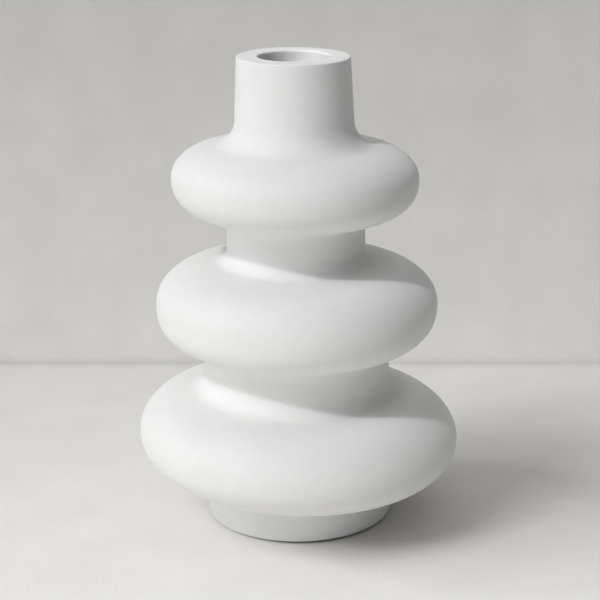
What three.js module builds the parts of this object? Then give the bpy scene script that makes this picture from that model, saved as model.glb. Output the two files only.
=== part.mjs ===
import * as THREE from 'three';

// Concrete vase: three round bulbs with waists between them, on a short foot and under a plain neck.
// Millimetres, +Z up, with the origin on the table under the middle of the vase.

// Whole height, from the table to the lip. The heights of the foot, bulbs and waists are shares of it,
// and the neck takes what is left.
const HEIGHT = 250;

// Pads under the foot
const PAD_COUNT = 4;
const PAD_RADIUS = 6;
const PAD_THICKNESS = 1;

// Foot, a low drum with a shallow recess under it
const FOOT_RADIUS = 49.5;
const FOOT_HEIGHT = 0.0796 * HEIGHT;
const FOOT_BLEND = 3;
const FOOT_EDGE = 1.2;
const FOOT_RING_WIDTH = 16;
const RECESS_DEPTH = 2;
const RECESS_SLOPE = 1;

// Lower bulb: radius at its equator, height under and over the equator, and how square its section is
const LOWER_BULB_RADIUS = 85.7;
const LOWER_BULB_DROP = 0.0988 * HEIGHT;
const LOWER_BULB_RISE = 0.1004 * HEIGHT;
const LOWER_BULB_FULLNESS = 2.05;

// Lower waist, between the lower and the middle bulb
const LOWER_WAIST_RADIUS = 49.6;
const LOWER_WAIST_LENGTH = 0.1016 * HEIGHT;
const LOWER_WAIST_BLEND = 9;

// Middle bulb
const MIDDLE_BULB_RADIUS = 74.7;
const MIDDLE_BULB_DROP = 0.0872 * HEIGHT;
const MIDDLE_BULB_RISE = 0.0944 * HEIGHT;
const MIDDLE_BULB_FULLNESS = 2.25;

// Upper waist, between the middle and the upper bulb
const UPPER_WAIST_RADIUS = 36.5;
const UPPER_WAIST_LENGTH = 0.0972 * HEIGHT;
const UPPER_WAIST_BLEND = 7.5;

// Upper bulb
const UPPER_BULB_RADIUS = 64.7;
const UPPER_BULB_DROP = 0.0796 * HEIGHT;
const UPPER_BULB_RISE = 0.0744 * HEIGHT;
const UPPER_BULB_FULLNESS = 2.25;

// Neck, which draws in a little from its root to the lip
const NECK_RADIUS = 31;
const NECK_BLEND = 13.5;
const LIP_RADIUS = 29.5;
const LIP_EDGE = 0.8;
const MOUTH_RADIUS = 18.3;
const MOUTH_EDGE = 1;

// Thickness of the casting
const WALL = 9;
const NECK_WALL = 11;
const FLOOR_THICKNESS = 12;
const FLOOR_CORNER = 3;

// Waterproof coat on the inside, which stops below the lip
const COAT_THICKNESS = 1;
const COAT_GAP = 0.3;
const COAT_BELOW_LIP = 6.5;

// Facets round the casting, round the coat and round a pad
const CASTING_SEGMENTS = 48;
const COAT_SEGMENTS = 24;
const PAD_SEGMENTS = 24;

// Points on a quarter of a bulb and on a blend, outside and inside, and on a rounded edge
const OUTSIDE_POINTS = { quarter: 7, blend: 3 };
const INSIDE_POINTS = { quarter: 3, blend: 2 };
const EDGE_POINTS = 3;
const BALL_TRIALS = 400;

const QUARTER_TURN = Math.PI / 2;
const UP = 1;
const DOWN = -1;

const stems = [
  { radius: FOOT_RADIUS, length: FOOT_HEIGHT, blend: FOOT_BLEND, wall: WALL },
  { radius: LOWER_WAIST_RADIUS, length: LOWER_WAIST_LENGTH, blend: LOWER_WAIST_BLEND, wall: WALL },
  { radius: UPPER_WAIST_RADIUS, length: UPPER_WAIST_LENGTH, blend: UPPER_WAIST_BLEND, wall: WALL },
  { radius: NECK_RADIUS, blend: NECK_BLEND, wall: NECK_WALL },
];

const bulbs = [
  {
    radius: LOWER_BULB_RADIUS,
    drop: LOWER_BULB_DROP,
    rise: LOWER_BULB_RISE,
    fullness: LOWER_BULB_FULLNESS,
  },
  {
    radius: MIDDLE_BULB_RADIUS,
    drop: MIDDLE_BULB_DROP,
    rise: MIDDLE_BULB_RISE,
    fullness: MIDDLE_BULB_FULLNESS,
  },
  {
    radius: UPPER_BULB_RADIUS,
    drop: UPPER_BULB_DROP,
    rise: UPPER_BULB_RISE,
    fullness: UPPER_BULB_FULLNESS,
  },
];

// Heights, from the table up: a stem, a bulb, the next stem, and so on to the root of the neck.
const underside = PAD_THICKNESS;
const lipHeight = HEIGHT;
const floorHeight = underside + FLOOR_THICKNESS;
let level = underside;
bulbs.forEach((bulb, index) => {
  bulb.equator = level + stems[index].length + bulb.drop;
  level = bulb.equator + bulb.rise;
});

function at(radius, height) {
  return new THREE.Vector2(radius, height);
}

// Points on a round arc, both ends included.
function arc(centreRadius, centreHeight, radius, startAngle, endAngle, steps) {
  const points = [];
  for (let step = 0; step <= steps; step += 1) {
    const angle = startAngle + ((endAngle - startAngle) * step) / steps;
    points.push(at(centreRadius + radius * Math.cos(angle), centreHeight + radius * Math.sin(angle)));
  }
  return points;
}

// A point on a quarter of a bulb: a superellipse from the equator, at angle 0, to the stem.
function bulbPoint(bulb, stem, side, angle) {
  const power = 2 / bulb.fullness;
  const swell = bulb.radius - stem.radius;
  const reach = side === UP ? bulb.rise : bulb.drop;
  const across = Math.max(Math.cos(angle), 0) ** power;
  const along = Math.sin(angle) ** power;
  return at(stem.radius + swell * across, bulb.equator + side * reach * along);
}

// A ball as large as the blend, held against the stem, comes to rest on the bulb:
// the height of its centre, and the angle of the bulb's point that it touches.
function restingBall(bulb, stem, side) {
  const centreRadius = stem.radius + stem.blend;
  let lift = -Infinity;
  let touch = QUARTER_TURN;
  for (let trial = 0; trial <= BALL_TRIALS; trial += 1) {
    const angle = (QUARTER_TURN * trial) / BALL_TRIALS;
    const point = bulbPoint(bulb, stem, side, angle);
    const across = point.x - centreRadius;
    if (Math.abs(across) < stem.blend) {
      const trialLift = side * point.y + Math.sqrt(stem.blend ** 2 - across ** 2);
      if (trialLift > lift) {
        lift = trialLift;
        touch = angle;
      }
    }
  }
  return { centre: at(centreRadius, side * lift), touch };
}

// Half of a bulb's section, from its equator to the stem, with the blend between them.
function bulbHalf(bulb, stem, side, counts) {
  const ball = restingBall(bulb, stem, side);
  const points = [];
  for (let step = 0; step <= counts.quarter; step += 1) {
    points.push(bulbPoint(bulb, stem, side, (ball.touch * step) / counts.quarter));
  }
  const landing = points[points.length - 1].clone().sub(ball.centre);
  const startAngle = Math.atan2(landing.y, landing.x);
  const endAngle = side === UP ? -Math.PI : Math.PI;
  const blend = arc(ball.centre.x, ball.centre.y, stem.blend, startAngle, endAngle, counts.blend);
  return points.concat(blend.slice(1));
}

// The whole stack of bulbs and stems, from the foot to the root of the neck.
function outline(stack, counts) {
  return stack.bulbs.flatMap((bulb, index) => {
    const under = bulbHalf(bulb, stack.stems[index], DOWN, counts).reverse();
    const over = bulbHalf(bulb, stack.stems[index + 1], UP, counts);
    return under.concat(over.slice(1));
  });
}

// The stack of the hollow, which lies a wall and a further depth inside the outer one.
function hollowStack(depth) {
  return {
    stems: stems.map((stem) => ({
      radius: stem.radius - stem.wall - depth,
      blend: stem.blend + stem.wall + depth,
    })),
    bulbs: bulbs.map((bulb) => ({
      radius: bulb.radius - WALL - depth,
      drop: bulb.drop - WALL - depth,
      rise: bulb.rise - WALL - depth,
      fullness: bulb.fullness,
      equator: bulb.equator,
    })),
  };
}

// The point at a height on the straight line between two points.
function between(lower, upper, height) {
  return lower.clone().lerp(upper, (height - lower.y) / (upper.y - lower.y));
}

// The section of the hollow at a depth below its face, from the axis over the floor to the given top.
function hollowSection(depth, top) {
  const floor = floorHeight + depth;
  const cornerTop = floor + FLOOR_CORNER;
  const side = outline(hollowStack(depth), INSIDE_POINTS);
  const first = side.findIndex((point) => point.y > cornerTop);
  const start = first > 0 ? between(side[first - 1], side[first], cornerTop) : at(side[0].x, cornerTop);
  const wall = [start].concat(side.slice(first));
  const root = wall[wall.length - 1];
  const end = between(root, at(MOUTH_RADIUS - depth, lipHeight), top);
  const corner = arc(start.x - FLOOR_CORNER, cornerTop, FLOOR_CORNER, -QUARTER_TURN, 0, EDGE_POINTS);
  return [at(0, floor)].concat(corner.slice(0, -1), wall, [end]);
}

// A solid turned about the vertical axis from a section that runs up its outside.
function turned(section, segments) {
  return new THREE.LatheGeometry(section, segments).rotateX(QUARTER_TURN);
}

function concreteBody() {
  const recessRadius = FOOT_RADIUS - FOOT_RING_WIDTH;
  const footEdgeRadius = FOOT_RADIUS - FOOT_EDGE;
  const lipEdgeRadius = LIP_RADIUS - LIP_EDGE;
  const mouthEdgeRadius = MOUTH_RADIUS + MOUTH_EDGE;
  const lipEdgeHeight = lipHeight - LIP_EDGE;
  const mouthEdgeHeight = lipHeight - MOUTH_EDGE;
  const section = [
    at(0, underside + RECESS_DEPTH),
    at(recessRadius - RECESS_SLOPE, underside + RECESS_DEPTH),
    at(recessRadius, underside),
    ...arc(footEdgeRadius, underside + FOOT_EDGE, FOOT_EDGE, -QUARTER_TURN, 0, EDGE_POINTS),
    ...outline({ bulbs, stems }, OUTSIDE_POINTS),
    ...arc(lipEdgeRadius, lipEdgeHeight, LIP_EDGE, 0, QUARTER_TURN, EDGE_POINTS),
    ...arc(mouthEdgeRadius, mouthEdgeHeight, MOUTH_EDGE, QUARTER_TURN, Math.PI, EDGE_POINTS),
    ...hollowSection(0, mouthEdgeHeight).slice(0, -1).reverse(),
  ];
  return turned(section, CASTING_SEGMENTS);
}

function sealingCoat() {
  const top = lipHeight - COAT_BELOW_LIP;
  const outer = hollowSection(COAT_GAP, top);
  const inner = hollowSection(COAT_GAP + COAT_THICKNESS, top);
  return turned(outer.concat(inner.reverse()), COAT_SEGMENTS);
}

function footPad() {
  return new THREE.CylinderGeometry(PAD_RADIUS, PAD_RADIUS, PAD_THICKNESS, PAD_SEGMENTS).rotateX(QUARTER_TURN);
}

const concrete = new THREE.MeshStandardMaterial({ color: 0xe6e5e2, roughness: 0.9, metalness: 0 });
const sealer = new THREE.MeshStandardMaterial({ color: 0xb9b8b3, roughness: 0.55, metalness: 0 });
const rubber = new THREE.MeshStandardMaterial({ color: 0x4a4a48, roughness: 0.8, metalness: 0 });

function part(name, geometry, material) {
  const mesh = new THREE.Mesh(geometry, material);
  mesh.name = name;
  return mesh;
}

const vase = new THREE.Group();
vase.add(part('concrete_body', concreteBody(), concrete));
vase.add(part('sealing_coat', sealingCoat(), sealer));

// The pads stand on a circle in the middle of the foot ring.
const padCircle = FOOT_RADIUS - (FOOT_RING_WIDTH + FOOT_EDGE) / 2;
for (let index = 0; index < PAD_COUNT; index += 1) {
  const angle = ((index + 0.5) * 2 * Math.PI) / PAD_COUNT;
  const pad = part(`foot_pad_${index + 1}`, footPad(), rubber);
  pad.position.set(padCircle * Math.cos(angle), padCircle * Math.sin(angle), PAD_THICKNESS / 2);
  vase.add(pad);
}

export default vase;
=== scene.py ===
import math

import bpy
import numpy as np
from mathutils import Matrix, Vector, noise


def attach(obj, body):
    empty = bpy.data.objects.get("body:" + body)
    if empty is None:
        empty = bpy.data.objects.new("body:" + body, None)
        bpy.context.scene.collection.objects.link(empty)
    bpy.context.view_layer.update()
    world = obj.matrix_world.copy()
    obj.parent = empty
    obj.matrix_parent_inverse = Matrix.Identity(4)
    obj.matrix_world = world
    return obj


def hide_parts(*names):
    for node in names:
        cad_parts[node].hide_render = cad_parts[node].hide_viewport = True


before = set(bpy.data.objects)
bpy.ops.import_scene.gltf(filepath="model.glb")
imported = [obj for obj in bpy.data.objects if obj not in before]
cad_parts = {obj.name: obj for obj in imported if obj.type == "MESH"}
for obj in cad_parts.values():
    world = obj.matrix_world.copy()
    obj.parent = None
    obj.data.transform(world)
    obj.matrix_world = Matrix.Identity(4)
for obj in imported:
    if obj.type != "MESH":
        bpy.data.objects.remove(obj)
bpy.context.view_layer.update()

# Lengths are in millimetres, as in the part's source, until MM turns them into metres.
MM = 0.001

# Foot, with the shallow recess under it
UNDERSIDE = 1.0
FOOT_RADIUS = 49.5
FOOT_HEIGHT = 19.9
FOOT_BLEND = 3.0
FOOT_EDGE = 1.2
FOOT_RING_WIDTH = 16.0
RECESS_DEPTH = 2.0
RECESS_SLOPE = 1.0

# Bulbs: radius, height under and over the equator, how square the section is, and how far
# the photographed bulb is off level, in degrees, with its right side low
BULBS = [
    {"radius": 85.7, "drop": 24.7, "rise": 25.1, "fullness": 2.05, "tilt": 2.06},
    {"radius": 74.7, "drop": 21.8, "rise": 23.6, "fullness": 2.25, "tilt": 0.72},
    {"radius": 64.7, "drop": 19.9, "rise": 18.6, "fullness": 2.25, "tilt": 1.06},
]

# Stems under, between and over the bulbs: the foot, the two waists and the neck
WALL = 9.0
NECK_WALL = 11.0
STEMS = [
    {"radius": FOOT_RADIUS, "length": FOOT_HEIGHT, "blend": FOOT_BLEND, "wall": WALL},
    {"radius": 49.6, "length": 25.4, "blend": 9.0, "wall": WALL},
    {"radius": 36.5, "length": 24.3, "blend": 7.5, "wall": WALL},
    {"radius": 31.0, "length": 45.7, "blend": 13.5, "wall": NECK_WALL},
]

# Lip and mouth
LIP_RADIUS = 29.5
LIP_EDGE = 0.8
LIP_TILT = 0.81
MOUTH_RADIUS = 18.3
MOUTH_EDGE = 1.0

# Hollow and its coat
FLOOR_THICKNESS = 12.0
FLOOR_CORNER = 3.0
COAT_THICKNESS = 1.0
COAT_GAP = 0.3
COAT_BELOW_LIP = 6.5

# The lower waist of the photographed casting stands a little to the left of the rest
WAIST_SHIFT = -0.75

# Fineness of the turned surfaces
SEGMENTS = 192
COAT_SEGMENTS = 96
OUTSIDE = {"quarter": 40, "blend": 12}
INSIDE = {"quarter": 14, "blend": 8}
EDGE_STEPS = 6
LONGEST_STEP = 2.0
BALL_TRIALS = 2000

# How far the cast surface sinks in from the true form, and how broad its hollows are
WAVE_DEPTH = 0.1
WAVE_SIZE = 34.0

# How far from the lip, the mouth and the bottom of the foot the concrete is rubbed
RUB_REACH = 1.6

UP = 1
DOWN = -1
QUARTER_TURN = math.pi / 2


# The casting's section, as in the part's source but with finer steps

def stack_heights():
    """Sets the height of each bulb's equator and returns the height of the lip."""
    level = UNDERSIDE
    for stem, bulb in zip(STEMS, BULBS):
        bulb["equator"] = level + stem["length"] + bulb["drop"]
        level = bulb["equator"] + bulb["rise"]
    return level + STEMS[-1]["length"]


LIP_HEIGHT = stack_heights()
FLOOR_HEIGHT = UNDERSIDE + FLOOR_THICKNESS


def arc(centre, radius, start, end, steps):
    angles = np.linspace(start, end, steps + 1)
    return [(centre[0] + radius * math.cos(a), centre[1] + radius * math.sin(a)) for a in angles]


def bulb_point(bulb, stem, side, angle):
    """A point on a quarter of a bulb: a superellipse from the equator, at angle 0, to the stem."""
    power = 2 / bulb["fullness"]
    swell = bulb["radius"] - stem["radius"]
    reach = bulb["rise"] if side == UP else bulb["drop"]
    across = max(math.cos(angle), 0.0) ** power
    along = math.sin(angle) ** power
    return stem["radius"] + swell * across, bulb["equator"] + side * reach * along


def resting_ball(bulb, stem, side):
    """The centre of the ball that rests on the bulb and the stem, and the bulb's angle where
    the ball touches it."""
    centre_radius = stem["radius"] + stem["blend"]
    best_lift, touch = -math.inf, QUARTER_TURN
    for trial in range(BALL_TRIALS + 1):
        angle = QUARTER_TURN * trial / BALL_TRIALS
        r, z = bulb_point(bulb, stem, side, angle)
        across = r - centre_radius
        if abs(across) < stem["blend"]:
            lift = side * z + math.sqrt(stem["blend"] ** 2 - across ** 2)
            if lift > best_lift:
                best_lift, touch = lift, angle
    return (centre_radius, side * best_lift), touch


def bulb_half(bulb, stem, side, counts):
    """The section from a bulb's equator over the blend to the stem."""
    centre, touch = resting_ball(bulb, stem, side)
    quarter = counts["quarter"]
    points = [bulb_point(bulb, stem, side, touch * step / quarter) for step in range(quarter + 1)]
    start = math.atan2(points[-1][1] - centre[1], points[-1][0] - centre[0])
    end = -math.pi if side == UP else math.pi
    return points + arc(centre, stem["blend"], start, end, counts["blend"])[1:]


def outline(bulbs, stems, counts):
    points = []
    for index, bulb in enumerate(bulbs):
        under = bulb_half(bulb, stems[index], DOWN, counts)[::-1]
        over = bulb_half(bulb, stems[index + 1], UP, counts)
        points += under + over[1:]
    return points


def hollow_stack(depth):
    """The stack of the hollow, which lies a wall and a further depth inside the outer one."""
    stems = []
    for stem in STEMS:
        inset = stem["wall"] + depth
        stems.append({"radius": stem["radius"] - inset, "blend": stem["blend"] + inset})
    bulbs = []
    for bulb in BULBS:
        inset = WALL + depth
        inner = {key: bulb[key] - inset for key in ("radius", "drop", "rise")}
        bulbs.append({**inner, "fullness": bulb["fullness"], "equator": bulb["equator"]})
    return bulbs, stems


def between(lower, upper, height):
    """The point at a height on the line between two others."""
    share = (height - lower[1]) / (upper[1] - lower[1])
    return lower[0] + share * (upper[0] - lower[0]), height


def hollow_section(depth, top):
    """The section of the hollow, or of a surface at a depth inside it, from the axis over the
    floor to the given top."""
    floor_height = FLOOR_HEIGHT + depth
    corner_top = floor_height + FLOOR_CORNER
    side = outline(*hollow_stack(depth), INSIDE)
    first = next(i for i, point in enumerate(side) if point[1] > corner_top)
    if first > 0:
        start = between(side[first - 1], side[first], corner_top)
    else:
        start = (side[0][0], corner_top)
    wall_side = [start] + side[first:]
    end = between(wall_side[-1], (MOUTH_RADIUS - depth, LIP_HEIGHT), top)
    corner_centre = (start[0] - FLOOR_CORNER, corner_top)
    corner = arc(corner_centre, FLOOR_CORNER, -QUARTER_TURN, 0, EDGE_STEPS)
    return [(0.0, floor_height)] + corner[:-1] + wall_side + [end]


def finely(points):
    """The same section with its long straight runs cut into short ones."""
    fine = [points[0]]
    for start, end in zip(points[:-1], points[1:]):
        steps = max(1, math.ceil(math.dist(start, end) / LONGEST_STEP))
        for step in range(1, steps + 1):
            share = step / steps
            r = start[0] + share * (end[0] - start[0])
            z = start[1] + share * (end[1] - start[1])
            fine.append((r, z))
    return fine


def casting_section():
    recess_radius = FOOT_RADIUS - FOOT_RING_WIDTH
    recess_height = UNDERSIDE + RECESS_DEPTH
    recess = [
        (0.0, recess_height),
        (recess_radius - RECESS_SLOPE, recess_height),
        (recess_radius, UNDERSIDE),
    ]
    foot_edge = (FOOT_RADIUS - FOOT_EDGE, UNDERSIDE + FOOT_EDGE)
    lip_edge = (LIP_RADIUS - LIP_EDGE, LIP_HEIGHT - LIP_EDGE)
    mouth_edge = (MOUTH_RADIUS + MOUTH_EDGE, LIP_HEIGHT - MOUTH_EDGE)
    return finely(
        recess
        + arc(foot_edge, FOOT_EDGE, -QUARTER_TURN, 0, EDGE_STEPS)
        + outline(BULBS, STEMS, OUTSIDE)
        + arc(lip_edge, LIP_EDGE, 0, QUARTER_TURN, EDGE_STEPS)
        + arc(mouth_edge, MOUTH_EDGE, QUARTER_TURN, math.pi, EDGE_STEPS)
        + hollow_section(0.0, mouth_edge[1])[:-1][::-1]
    )


def coat_section():
    top = LIP_HEIGHT - COAT_BELOW_LIP
    outer = hollow_section(COAT_GAP, top)
    inner = hollow_section(COAT_GAP + COAT_THICKNESS, top)
    return finely(outer + inner[::-1])


# From a section to a piece

def off_level(points):
    """Leans the bulbs and the lip as in the photograph. The waists between them take up the turn,
    and the lower waist shifts to the left."""
    x, z = points[:, 0], points[:, 2]
    levels, tilts = [FOOT_HEIGHT], [0.0]
    for bulb in BULBS:
        levels += [bulb["equator"] - bulb["drop"], bulb["equator"] + bulb["rise"]]
        tilts += [bulb["tilt"]] * 2
    painted_falloff = np.tan(np.radians(np.interp(z, levels + [LIP_HEIGHT], tilts + [LIP_TILT])))
    # The neck is let down so far that the high side of its lip keeps the height of the vase.
    lip_drop = LIP_RADIUS * math.tan(math.radians(LIP_TILT))
    sink = np.interp(z, [BULBS[-1]["equator"], LIP_HEIGHT], [0.0, lip_drop])
    waist_top = BULBS[1]["equator"] - BULBS[1]["drop"]
    waist_foot = BULBS[0]["equator"] + BULBS[0]["rise"]
    shift = np.interp(
        z,
        [BULBS[0]["equator"], waist_foot, waist_top, BULBS[1]["equator"]],
        [0.0, WAIST_SHIFT, WAIST_SHIFT, 0.0],
    )
    return np.stack([x + shift, points[:, 1], z - x * painted_falloff - sink], -1)


def turned(name, section, segments):
    """A closed surface turned about the vertical axis from a section with both ends on it."""
    rings = np.array(section[1:-1])
    angles = np.arange(segments) * 2 * math.pi / segments
    x = rings[:, :1] * np.cos(angles)
    y = rings[:, :1] * np.sin(angles)
    z = np.broadcast_to(rings[:, 1:], x.shape)
    points = np.stack([x, y, z], -1).reshape(-1, 3)
    points = np.vstack([points, [0, 0, section[0][1]], [0, 0, section[-1][1]]])
    first_pole, last_pole = len(points) - 2, len(points) - 1
    last_ring = (len(rings) - 1) * segments
    faces = []
    for low in range(0, last_ring, segments):
        high = low + segments
        for j in range(segments):
            k = (j + 1) % segments
            faces.append((low + j, low + k, high + k, high + j))
    for j in range(segments):
        k = (j + 1) % segments
        faces.append((first_pole, k, j))
        faces.append((last_pole, last_ring + j, last_ring + k))
    mesh = bpy.data.meshes.new(name)
    mesh.from_pydata((off_level(points) * MM).tolist(), [], faces)
    mesh.update()
    mesh.shade_smooth()
    piece = bpy.data.objects.new(name, mesh)
    bpy.context.scene.collection.objects.link(piece)
    return piece


def as_cast(piece):
    """Sinks the surface in by broad shallow hollows, as in a poured casting, and never lifts it."""
    mesh = piece.data
    points = np.empty((len(mesh.vertices), 3), np.float32)
    normals = np.empty_like(points)
    mesh.vertices.foreach_get("co", points.ravel())
    mesh.vertex_normals.foreach_get("vector", normals.ravel())
    waves = np.array([noise.noise(Vector(point) / (WAVE_SIZE * MM)) for point in points])
    points -= normals * (WAVE_DEPTH * MM * (1 + waves) / 2)[:, None]
    mesh.vertices.foreach_set("co", points.ravel())
    mesh.update()


def mark_edges(piece):
    """Stores how near each point is to a rubbed edge: the lip, the mouth or the foot's bottom."""
    edges = [(LIP_RADIUS, LIP_HEIGHT), (MOUTH_RADIUS, LIP_HEIGHT), (FOOT_RADIUS, UNDERSIDE)]
    points = np.empty((len(piece.data.vertices), 3), np.float32)
    piece.data.vertices.foreach_get("co", points.ravel())
    radius = np.hypot(points[:, 0], points[:, 1]) / MM
    height = points[:, 2] / MM
    nearest = np.min([np.hypot(radius - edge[0], height - edge[1]) for edge in edges], axis=0)
    worn = piece.data.attributes.new("worn", "FLOAT", "POINT")
    worn.data.foreach_set("value", np.clip(1 - nearest / RUB_REACH, 0, 1))


# Nodes

# Most of a noise lies between these two values.
NOISE_LOW = 0.3
NOISE_HIGH = 0.7


def blank_material(name):
    made = bpy.data.materials.new(name)
    made.use_nodes = True
    tree = made.node_tree
    place = tree.nodes.new("ShaderNodeTexCoord").outputs["Object"]
    return made, tree, tree.nodes["Principled BSDF"], place


def grain(tree, place, size, detail):
    """Soft noise, around one half, whose spots are about the given size in millimetres."""
    node = tree.nodes.new("ShaderNodeTexNoise")
    node.inputs["Scale"].default_value = 1 / (size * MM)
    node.inputs["Detail"].default_value = detail
    tree.links.new(place, node.inputs["Vector"])
    return node.outputs["Fac"]


def ranged(tree, value, low, high, to_low, to_high):
    """A value carried from one range to another and held inside it."""
    node = tree.nodes.new("ShaderNodeMapRange")
    ends = {"From Min": low, "From Max": high, "To Min": to_low, "To Max": to_high}
    for socket, number in ends.items():
        node.inputs[socket].default_value = number
    tree.links.new(value, node.inputs["Value"])
    return node.outputs["Result"]


def spots(tree, place, size, detail, low=NOISE_LOW, high=NOISE_HIGH):
    """Noise as in grain, with its range from low to high stretched to run from 0 to 1."""
    return ranged(tree, grain(tree, place, size, detail), low, high, 0.0, 1.0)


def maths(tree, operation, first, second):
    node = tree.nodes.new("ShaderNodeMath")
    node.operation = operation
    for socket, value in zip(node.inputs, (first, second)):
        if isinstance(value, (int, float)):
            socket.default_value = value
        else:
            tree.links.new(value, socket)
    return node.outputs["Value"]


def faded(tree, value, share):
    """A share of a value."""
    return maths(tree, "MULTIPLY", value, share)


def mixed(tree, share, first, second):
    """A colour between two others, each a plain colour or a socket."""
    node = tree.nodes.new("ShaderNodeMix")
    node.data_type = "RGBA"
    sockets = [socket for socket in node.inputs if socket.type == "RGBA"]
    for socket, value in zip(sockets, (first, second)):
        if isinstance(value, tuple):
            socket.default_value = (*value, 1)
        else:
            tree.links.new(value, socket)
    tree.links.new(share, node.inputs["Factor"])
    return next(socket for socket in node.outputs if socket.type == "RGBA")


def bumped(tree, height, depth, under=None):
    """A surface normal for a height from 0 to 1 that stands for the given depth in millimetres."""
    node = tree.nodes.new("ShaderNodeBump")
    node.inputs["Distance"].default_value = depth * MM
    tree.links.new(height, node.inputs["Height"])
    if under is not None:
        tree.links.new(under, node.inputs["Normal"])
    return node.outputs["Normal"]


def pinholes(tree, place, spacing, radius, share):
    """1 in the tiny air holes of a casting and 0 outside them. Only a share of the cells, which
    are as wide as the spacing, has a hole."""
    node = tree.nodes.new("ShaderNodeTexVoronoi")
    node.inputs["Scale"].default_value = 1 / (spacing * MM)
    tree.links.new(place, node.inputs["Vector"])
    hole = ranged(tree, node.outputs["Distance"], 0.0, radius / spacing, 1.0, 0.0)
    chance = tree.nodes.new("ShaderNodeSeparateColor")
    tree.links.new(node.outputs["Color"], chance.inputs["Color"])
    chosen = maths(tree, "LESS_THAN", chance.outputs["Red"], share)
    return maths(tree, "MULTIPLY", hole, chosen)


# Materials. A pair of tones or of roughnesses gives the two ends that the noise runs between.
CEMENT_TONES = ((0.798, 0.798, 0.795), (0.834, 0.834, 0.832))
LIME_TONES = ((0.776, 0.776, 0.772), (0.842, 0.842, 0.841))
# Painted shade inside the air holes
HOLE_SHADE_TONE = (0.5, 0.49, 0.47)
RUBBED_TONE = (0.86, 0.858, 0.85)
CONCRETE_ROUGHNESS = (0.84, 0.93)
CONCRETE_SPECULAR = 0.35

BRUSHED_TONES = ((0.45, 0.445, 0.425), (0.52, 0.515, 0.495))
POOL_TONE = (0.44, 0.435, 0.415)
SEALER_ROUGHNESS = (0.42, 0.58)
BRUSH_STRETCH = (1.0, 1.0, 0.2)

RUBBER_TONES = ((0.055, 0.055, 0.053), (0.08, 0.08, 0.077))
DUST_TONE = (0.2, 0.195, 0.185)
RUBBER_ROUGHNESS = (0.62, 0.85)

PLASTER_ROUGHNESS = 0.92
PLASTER_SPECULAR = 0.25
GRAIN_SHARE = 0.014


def concrete_material():
    """Pale cement with clouds, limy streaks and sand, a few air holes darkened with painted shade,
    and rubbed edges.
    """
    made, tree, shader, place = blank_material("pale_concrete")
    clouds = spots(tree, place, size=28.0, detail=4.0)
    streaks = spots(tree, place, size=3.5, detail=3.0)
    sand = spots(tree, place, size=0.7, detail=2.0)
    cement = mixed(tree, clouds, *CEMENT_TONES)
    lime = mixed(tree, streaks, *LIME_TONES)
    ground = mixed(tree, faded(tree, sand, 0.5), cement, lime)
    holes = pinholes(tree, place, spacing=5.0, radius=0.25, share=0.5)
    # Painted shade darkens the colour inside the air holes.
    with_hole_shade = mixed(tree, faded(tree, holes, 0.5), ground, HOLE_SHADE_TONE)
    rubbed = tree.nodes.new("ShaderNodeAttribute")
    rubbed.attribute_name = "worn"
    rub = maths(tree, "MULTIPLY", rubbed.outputs["Fac"], faded(tree, streaks, 0.5))
    colour = mixed(tree, rub, with_hole_shade, RUBBED_TONE)
    tree.links.new(colour, shader.inputs["Base Color"])
    roughness = ranged(tree, clouds, 0.0, 1.0, *CONCRETE_ROUGHNESS)
    tree.links.new(roughness, shader.inputs["Roughness"])
    shader.inputs["Specular IOR Level"].default_value = CONCRETE_SPECULAR
    skin = bumped(tree, grain(tree, place, size=0.9, detail=3.0), depth=0.032)
    trowel = bumped(tree, grain(tree, place, size=9.0, detail=2.0), depth=0.08, under=skin)
    dots = bumped(tree, maths(tree, "SUBTRACT", 1.0, holes), depth=0.15, under=trowel)
    tree.links.new(dots, shader.inputs["Normal"])
    return made


def sealer_material():
    """A satin coat with the marks of a broad brush, a little darker than the bare concrete."""
    made, tree, shader, place = blank_material("sealer_coat")
    drawn = tree.nodes.new("ShaderNodeMapping")
    drawn.inputs["Scale"].default_value = BRUSH_STRETCH
    tree.links.new(place, drawn.inputs["Vector"])
    strokes = spots(tree, drawn.outputs["Vector"], size=2.2, detail=3.0)
    pools = spots(tree, place, size=16.0, detail=2.0)
    thick = mixed(tree, strokes, *BRUSHED_TONES)
    colour = mixed(tree, faded(tree, pools, 0.5), thick, POOL_TONE)
    tree.links.new(colour, shader.inputs["Base Color"])
    roughness = ranged(tree, pools, 0.0, 1.0, *SEALER_ROUGHNESS)
    tree.links.new(roughness, shader.inputs["Roughness"])
    tree.links.new(bumped(tree, strokes, depth=0.06), shader.inputs["Normal"])
    return made


def rubber_material():
    """Black rubber with fine specks and a little dust."""
    made, tree, shader, place = blank_material("pad_rubber")
    specks = spots(tree, place, size=0.5, detail=2.0, low=0.35, high=0.65)
    dust = spots(tree, place, size=3.0, detail=3.0, low=0.45, high=0.75)
    body = mixed(tree, specks, *RUBBER_TONES)
    colour = mixed(tree, faded(tree, dust, 0.4), body, DUST_TONE)
    tree.links.new(colour, shader.inputs["Base Color"])
    roughness = ranged(tree, dust, 0.0, 1.0, *RUBBER_ROUGHNESS)
    tree.links.new(roughness, shader.inputs["Roughness"])
    tree.links.new(bumped(tree, specks, depth=0.04), shader.inputs["Normal"])
    return made


def open_from_behind(tree, shader):
    """Lets a camera that stands behind the wall or under the floor look through to the vase."""
    sheet = tree.nodes.new("ShaderNodeNewGeometry")
    ray = tree.nodes.new("ShaderNodeLightPath")
    clear = tree.nodes.new("ShaderNodeBsdfTransparent")
    blend = tree.nodes.new("ShaderNodeMixShader")
    backfacing, seen = sheet.outputs["Backfacing"], ray.outputs["Is Camera Ray"]
    through = maths(tree, "MULTIPLY", backfacing, seen)
    ends = (through, shader.outputs["BSDF"], clear.outputs["BSDF"])
    for socket, end in zip(blend.inputs, ends):
        tree.links.new(end, socket)
    tree.links.new(blend.outputs["Shader"], tree.nodes["Material Output"].inputs["Surface"])


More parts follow.
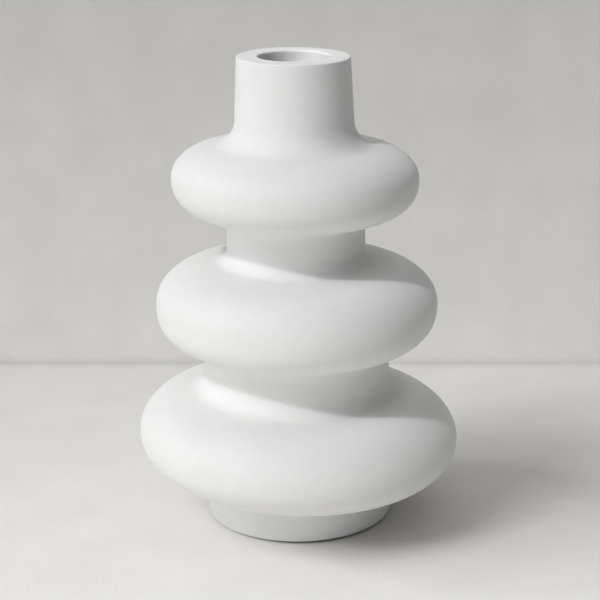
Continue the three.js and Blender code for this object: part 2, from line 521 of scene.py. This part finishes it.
def plaster_material(name, axis, tones_with_painted_falloff, seam_shade, patchiness):
    """The matt ground of the floor or the wall, in metres. Its tone changes slowly along one axis
    of the stage, between two places that each have a colour: the ground's own colour with painted
    light falloff. It has soft patches, a fine grain, and painted shade along the seam where floor
    and wall meet, given by its width and how dark it is."""
    made, tree, shader, place = blank_material(name)
    (start, start_tone), (end, end_tone) = tones_with_painted_falloff
    seam_shade_width, seam_shade_share = seam_shade
    split = tree.nodes.new("ShaderNodeSeparateXYZ")
    tree.links.new(place, split.inputs["Vector"])
    along = split.outputs[axis]
    # Painted light falloff: the tone runs from one end's colour to the other's along the axis.
    painted_falloff = ranged(tree, along, start, end, 0.0, 1.0)
    patches = spots(tree, place, size=38.0, detail=5.0)
    dots = spots(tree, place, size=1.6, detail=3.0)
    # Patches and grain leave the mean tone as it is.
    plain = 1 - (patchiness + GRAIN_SHARE) / 2
    shade = maths(tree, "ADD", faded(tree, patches, patchiness), plain)
    shade = maths(tree, "ADD", shade, faded(tree, dots, GRAIN_SHARE))
    # Painted shade darkens the ground towards the seam where floor and wall meet.
    off_seam = maths(tree, "ABSOLUTE", along, 0.0)
    painted_seam_shade = ranged(tree, off_seam, 0.0, seam_shade_width, seam_shade_share, 1.0)
    scaled = tree.nodes.new("ShaderNodeVectorMath")
    scaled.operation = "SCALE"
    tree.links.new(mixed(tree, painted_falloff, start_tone, end_tone), scaled.inputs[0])
    tree.links.new(maths(tree, "MULTIPLY", shade, painted_seam_shade), scaled.inputs["Scale"])
    tree.links.new(scaled.outputs["Vector"], shader.inputs["Base Color"])
    shader.inputs["Roughness"].default_value = PLASTER_ROUGHNESS
    shader.inputs["Specular IOR Level"].default_value = PLASTER_SPECULAR
    tree.links.new(bumped(tree, dots, depth=0.05), shader.inputs["Normal"])
    open_from_behind(tree, shader)
    return made


# Pieces

casting = turned("casting", casting_section(), SEGMENTS)
as_cast(casting)
mark_edges(casting)
casting.data.materials.append(concrete_material())
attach(casting, "root")
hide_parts("concrete_body")

coat = turned("inner_coat", coat_section(), COAT_SEGMENTS)
coat.data.materials.append(sealer_material())
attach(coat, "root")
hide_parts("sealing_coat")

rubber = rubber_material()
pads = [node for name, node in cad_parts.items() if name.startswith("foot_pad_")]
for pad in pads:
    pad.data.materials.clear()
    pad.data.materials.append(rubber)


# Camera, as fitted to the outline in the photograph: place in metres, angles in degrees, and
# lens and sensor in millimetres
CAMERA_PLACE = (0.0, -0.89641, 0.39324)
CAMERA_PITCH = -17.01
CAMERA_YAW = 0.104
CAMERA_ROLL = -0.8
CAMERA_LENS = 105.634
CAMERA_SENSOR = 36.0


def place_camera():
    camera_data = bpy.data.cameras.new("camera")
    camera_data.lens = CAMERA_LENS
    camera_data.sensor_width = CAMERA_SENSOR
    camera = bpy.data.objects.new("camera", camera_data)
    bpy.context.scene.collection.objects.link(camera)
    pitch, yaw = math.radians(CAMERA_PITCH), math.radians(CAMERA_YAW)
    level = math.cos(pitch)
    forward = Vector((math.sin(yaw) * level, math.cos(yaw) * level, math.sin(pitch)))
    level_right = forward.cross(Vector((0, 0, 1))).normalized()
    level_up = level_right.cross(forward)
    roll = math.radians(CAMERA_ROLL)
    right = math.cos(roll) * level_right + math.sin(roll) * level_up
    up = math.cos(roll) * level_up - math.sin(roll) * level_right
    turn = Matrix((right, up, -forward)).transposed().to_4x4()
    camera.matrix_world = Matrix.Translation(CAMERA_PLACE) @ turn
    bpy.context.scene.camera = camera


place_camera()

# Floor and wall, in metres. The wall runs so that its foot is level in the picture, and both
# sheets are drawn in its frame: x along the seam, y away from the camera.
WALL_DISTANCE = 0.241
WALL_TURN = -2.549
STAGE_REACH = 0.55
FLOOR_LENGTH = 1.1
WALL_HEIGHT = 0.55
# Each ground's own colour with painted light falloff: the floor lighter at the front and darker at
# the wall, the wall lighter at its foot and darker higher up.
FLOOR_TONES_WITH_PAINTED_FALLOFF = ((-0.38, (0.752, 0.742, 0.726)), (0.0, (0.505, 0.498, 0.487)))
# A seam pair gives the width in metres and the darkest share of the painted shade along the seam of
# floor and wall.
FLOOR_SEAM_SHADE = (0.0085, 0.855)
FLOOR_PATCHES = 0.05
WALL_TONES_WITH_PAINTED_FALLOFF = ((0.0, (0.600, 0.593, 0.581)), (0.25, (0.530, 0.524, 0.513)))
WALL_SEAM_SHADE = (0.0055, 0.885)
WALL_PATCHES = 0.075


def stage_sheet(name, corners, look):
    mesh = bpy.data.meshes.new(name)
    mesh.from_pydata(corners, [], [(0, 1, 2, 3)])
    mesh.materials.append(look)
    sheet = bpy.data.objects.new(name, mesh)
    sheet.location = (0, WALL_DISTANCE, 0)
    sheet.rotation_euler = (0, 0, math.radians(WALL_TURN))
    bpy.context.scene.collection.objects.link(sheet)
    return sheet


def sheet_corners(near, far):
    """The corners of a sheet as wide as the stage, between two edges, each a y and a z."""
    return [(-STAGE_REACH, *near), (STAGE_REACH, *near), (STAGE_REACH, *far), (-STAGE_REACH, *far)]


floor_look = plaster_material("floor_plaster", "Y", FLOOR_TONES_WITH_PAINTED_FALLOFF, FLOOR_SEAM_SHADE, FLOOR_PATCHES)
wall_look = plaster_material("wall_plaster", "Z", WALL_TONES_WITH_PAINTED_FALLOFF, WALL_SEAM_SHADE, WALL_PATCHES)
floor = stage_sheet("floor", sheet_corners((-FLOOR_LENGTH, 0), (0, 0)), floor_look)
wall = stage_sheet("wall", sheet_corners((0, 0), (0, WALL_HEIGHT)), wall_look)

# Lamps. Each lights one group alone: the vase, the floor or the wall. It stands so many degrees
# round from the left towards the camera, and so many degrees up. Softness is its width in degrees.
LAMPS = [
    # name, lights, round, up, softness, strength
    ("key", "vase", 48.5, 47.9, 3.5, 1.09),
    ("key_glow", "vase", 48.5, 47.9, 20.0, 0.33),
    ("left_high", "vase", 20.0, 35.0, 20.0, 0.35),
    ("front_low", "vase", 50.0, 4.0, 25.0, 0.36),
    ("front_fill", "vase", 45.0, 3.0, 60.0, 0.60),
    ("back_low", "vase", -30.0, 12.0, 40.0, 0.49),
    ("back_left", "vase", -60.0, 70.0, 20.0, 0.22),
    ("back_right", "vase", 160.0, 70.0, 20.0, 0.29),
    ("floor_key", "floor", 30.0, 45.0, 30.0, 1.52),
    ("floor_front", "floor", 30.0, 32.0, 10.0, 0.41),
    ("floor_left", "floor", 0.0, 22.0, 30.0, 1.11),
    ("floor_back", "floor", -15.0, 22.0, 10.0, 0.60),
    ("floor_top", "floor", 0.0, 90.0, 90.0, 0.76),
    ("wall_wash", "wall", 60.0, 30.0, 40.0, 2.50),
]
# The vase alone shades the floor, and nothing but itself shades the wall.
SHADED_BY = {"floor": "vase", "wall": "wall"}

# Two narrow lamps reach only the lip and the mouth, which the others leave too dark: one shines
# down on the lip, and one from the front left into the mouth. Reach is the radius of the lit
# patch and bulb the radius of the lamp itself, in metres.
SPOTS = [
    # name, round, up, reach, bulb, strength
    ("lip_spot", 48.5, 88.0, 0.032, 0.002, 0.30),
    ("mouth_spot", 59.0, 45.0, 0.0112, 0.008, 2.70),
]
SPOT_DISTANCE = 1.0
SPOT_EDGE = 0.4

# The sky lights the scene weakly. Where the camera or a mirrored ray sees past the stage, it
# shows a pale backdrop.
SKY = 0.11
BACKDROP = 0.55


def lit_group(name, pieces):
    group = bpy.data.collections.new("lit_" + name)
    for piece in pieces:
        group.objects.link(piece)
    return group


def way_to(degrees_round, degrees_up):
    """The direction from the vase to a lamp."""
    turn, rise = math.radians(degrees_round), math.radians(degrees_up)
    level = math.cos(rise)
    return Vector((-math.cos(turn) * level, -math.sin(turn) * level, math.sin(rise)))


def add_lamp(name, kind, way, lights):
    lamp = bpy.data.objects.new(name, bpy.data.lights.new(name, kind))
    lamp.rotation_euler = way.to_track_quat("Z", "Y").to_euler()
    lamp.light_linking.receiver_collection = groups[lights]
    bpy.context.scene.collection.objects.link(lamp)
    return lamp


groups = {
    "vase": lit_group("vase", [casting, coat, *pads]),
    "floor": lit_group("floor", [floor]),
    "wall": lit_group("wall", [wall]),
}

for name, lights, degrees_round, degrees_up, softness, strength in LAMPS:
    lamp = add_lamp(name, "SUN", way_to(degrees_round, degrees_up), lights)
    lamp.data.energy = strength
    lamp.data.angle = math.radians(softness)
    if lights in SHADED_BY:
        lamp.light_linking.blocker_collection = groups[SHADED_BY[lights]]

mouth_place = Vector((0, 0, LIP_HEIGHT * MM))
for name, degrees_round, degrees_up, reach, bulb_radius, strength in SPOTS:
    way = way_to(degrees_round, degrees_up)
    lamp = add_lamp(name, "SPOT", way, "vase")
    lamp.location = mouth_place + SPOT_DISTANCE * way
    lamp.data.energy = strength * 4 * math.pi * SPOT_DISTANCE ** 2
    lamp.data.spot_size = 2 * math.atan(reach / SPOT_DISTANCE)
    lamp.data.spot_blend = SPOT_EDGE
    lamp.data.shadow_soft_size = bulb_radius


def light_the_sky():
    world = bpy.data.worlds.new("studio")
    bpy.context.scene.world = world
    world.use_nodes = True
    tree = world.node_tree
    background = tree.nodes["Background"]
    background.inputs["Color"].default_value = (1, 1, 1, 1)
    rays = tree.nodes.new("ShaderNodeLightPath").outputs
    mirrored = maths(tree, "MAXIMUM", rays["Is Glossy Ray"], rays["Is Transmission Ray"])
    seen = maths(tree, "MAXIMUM", rays["Is Camera Ray"], mirrored)
    strength = ranged(tree, seen, 0.0, 1.0, SKY, BACKDROP)
    tree.links.new(strength, background.inputs["Strength"])


light_the_sky()

bpy.context.scene.view_settings.view_transform = "Standard"
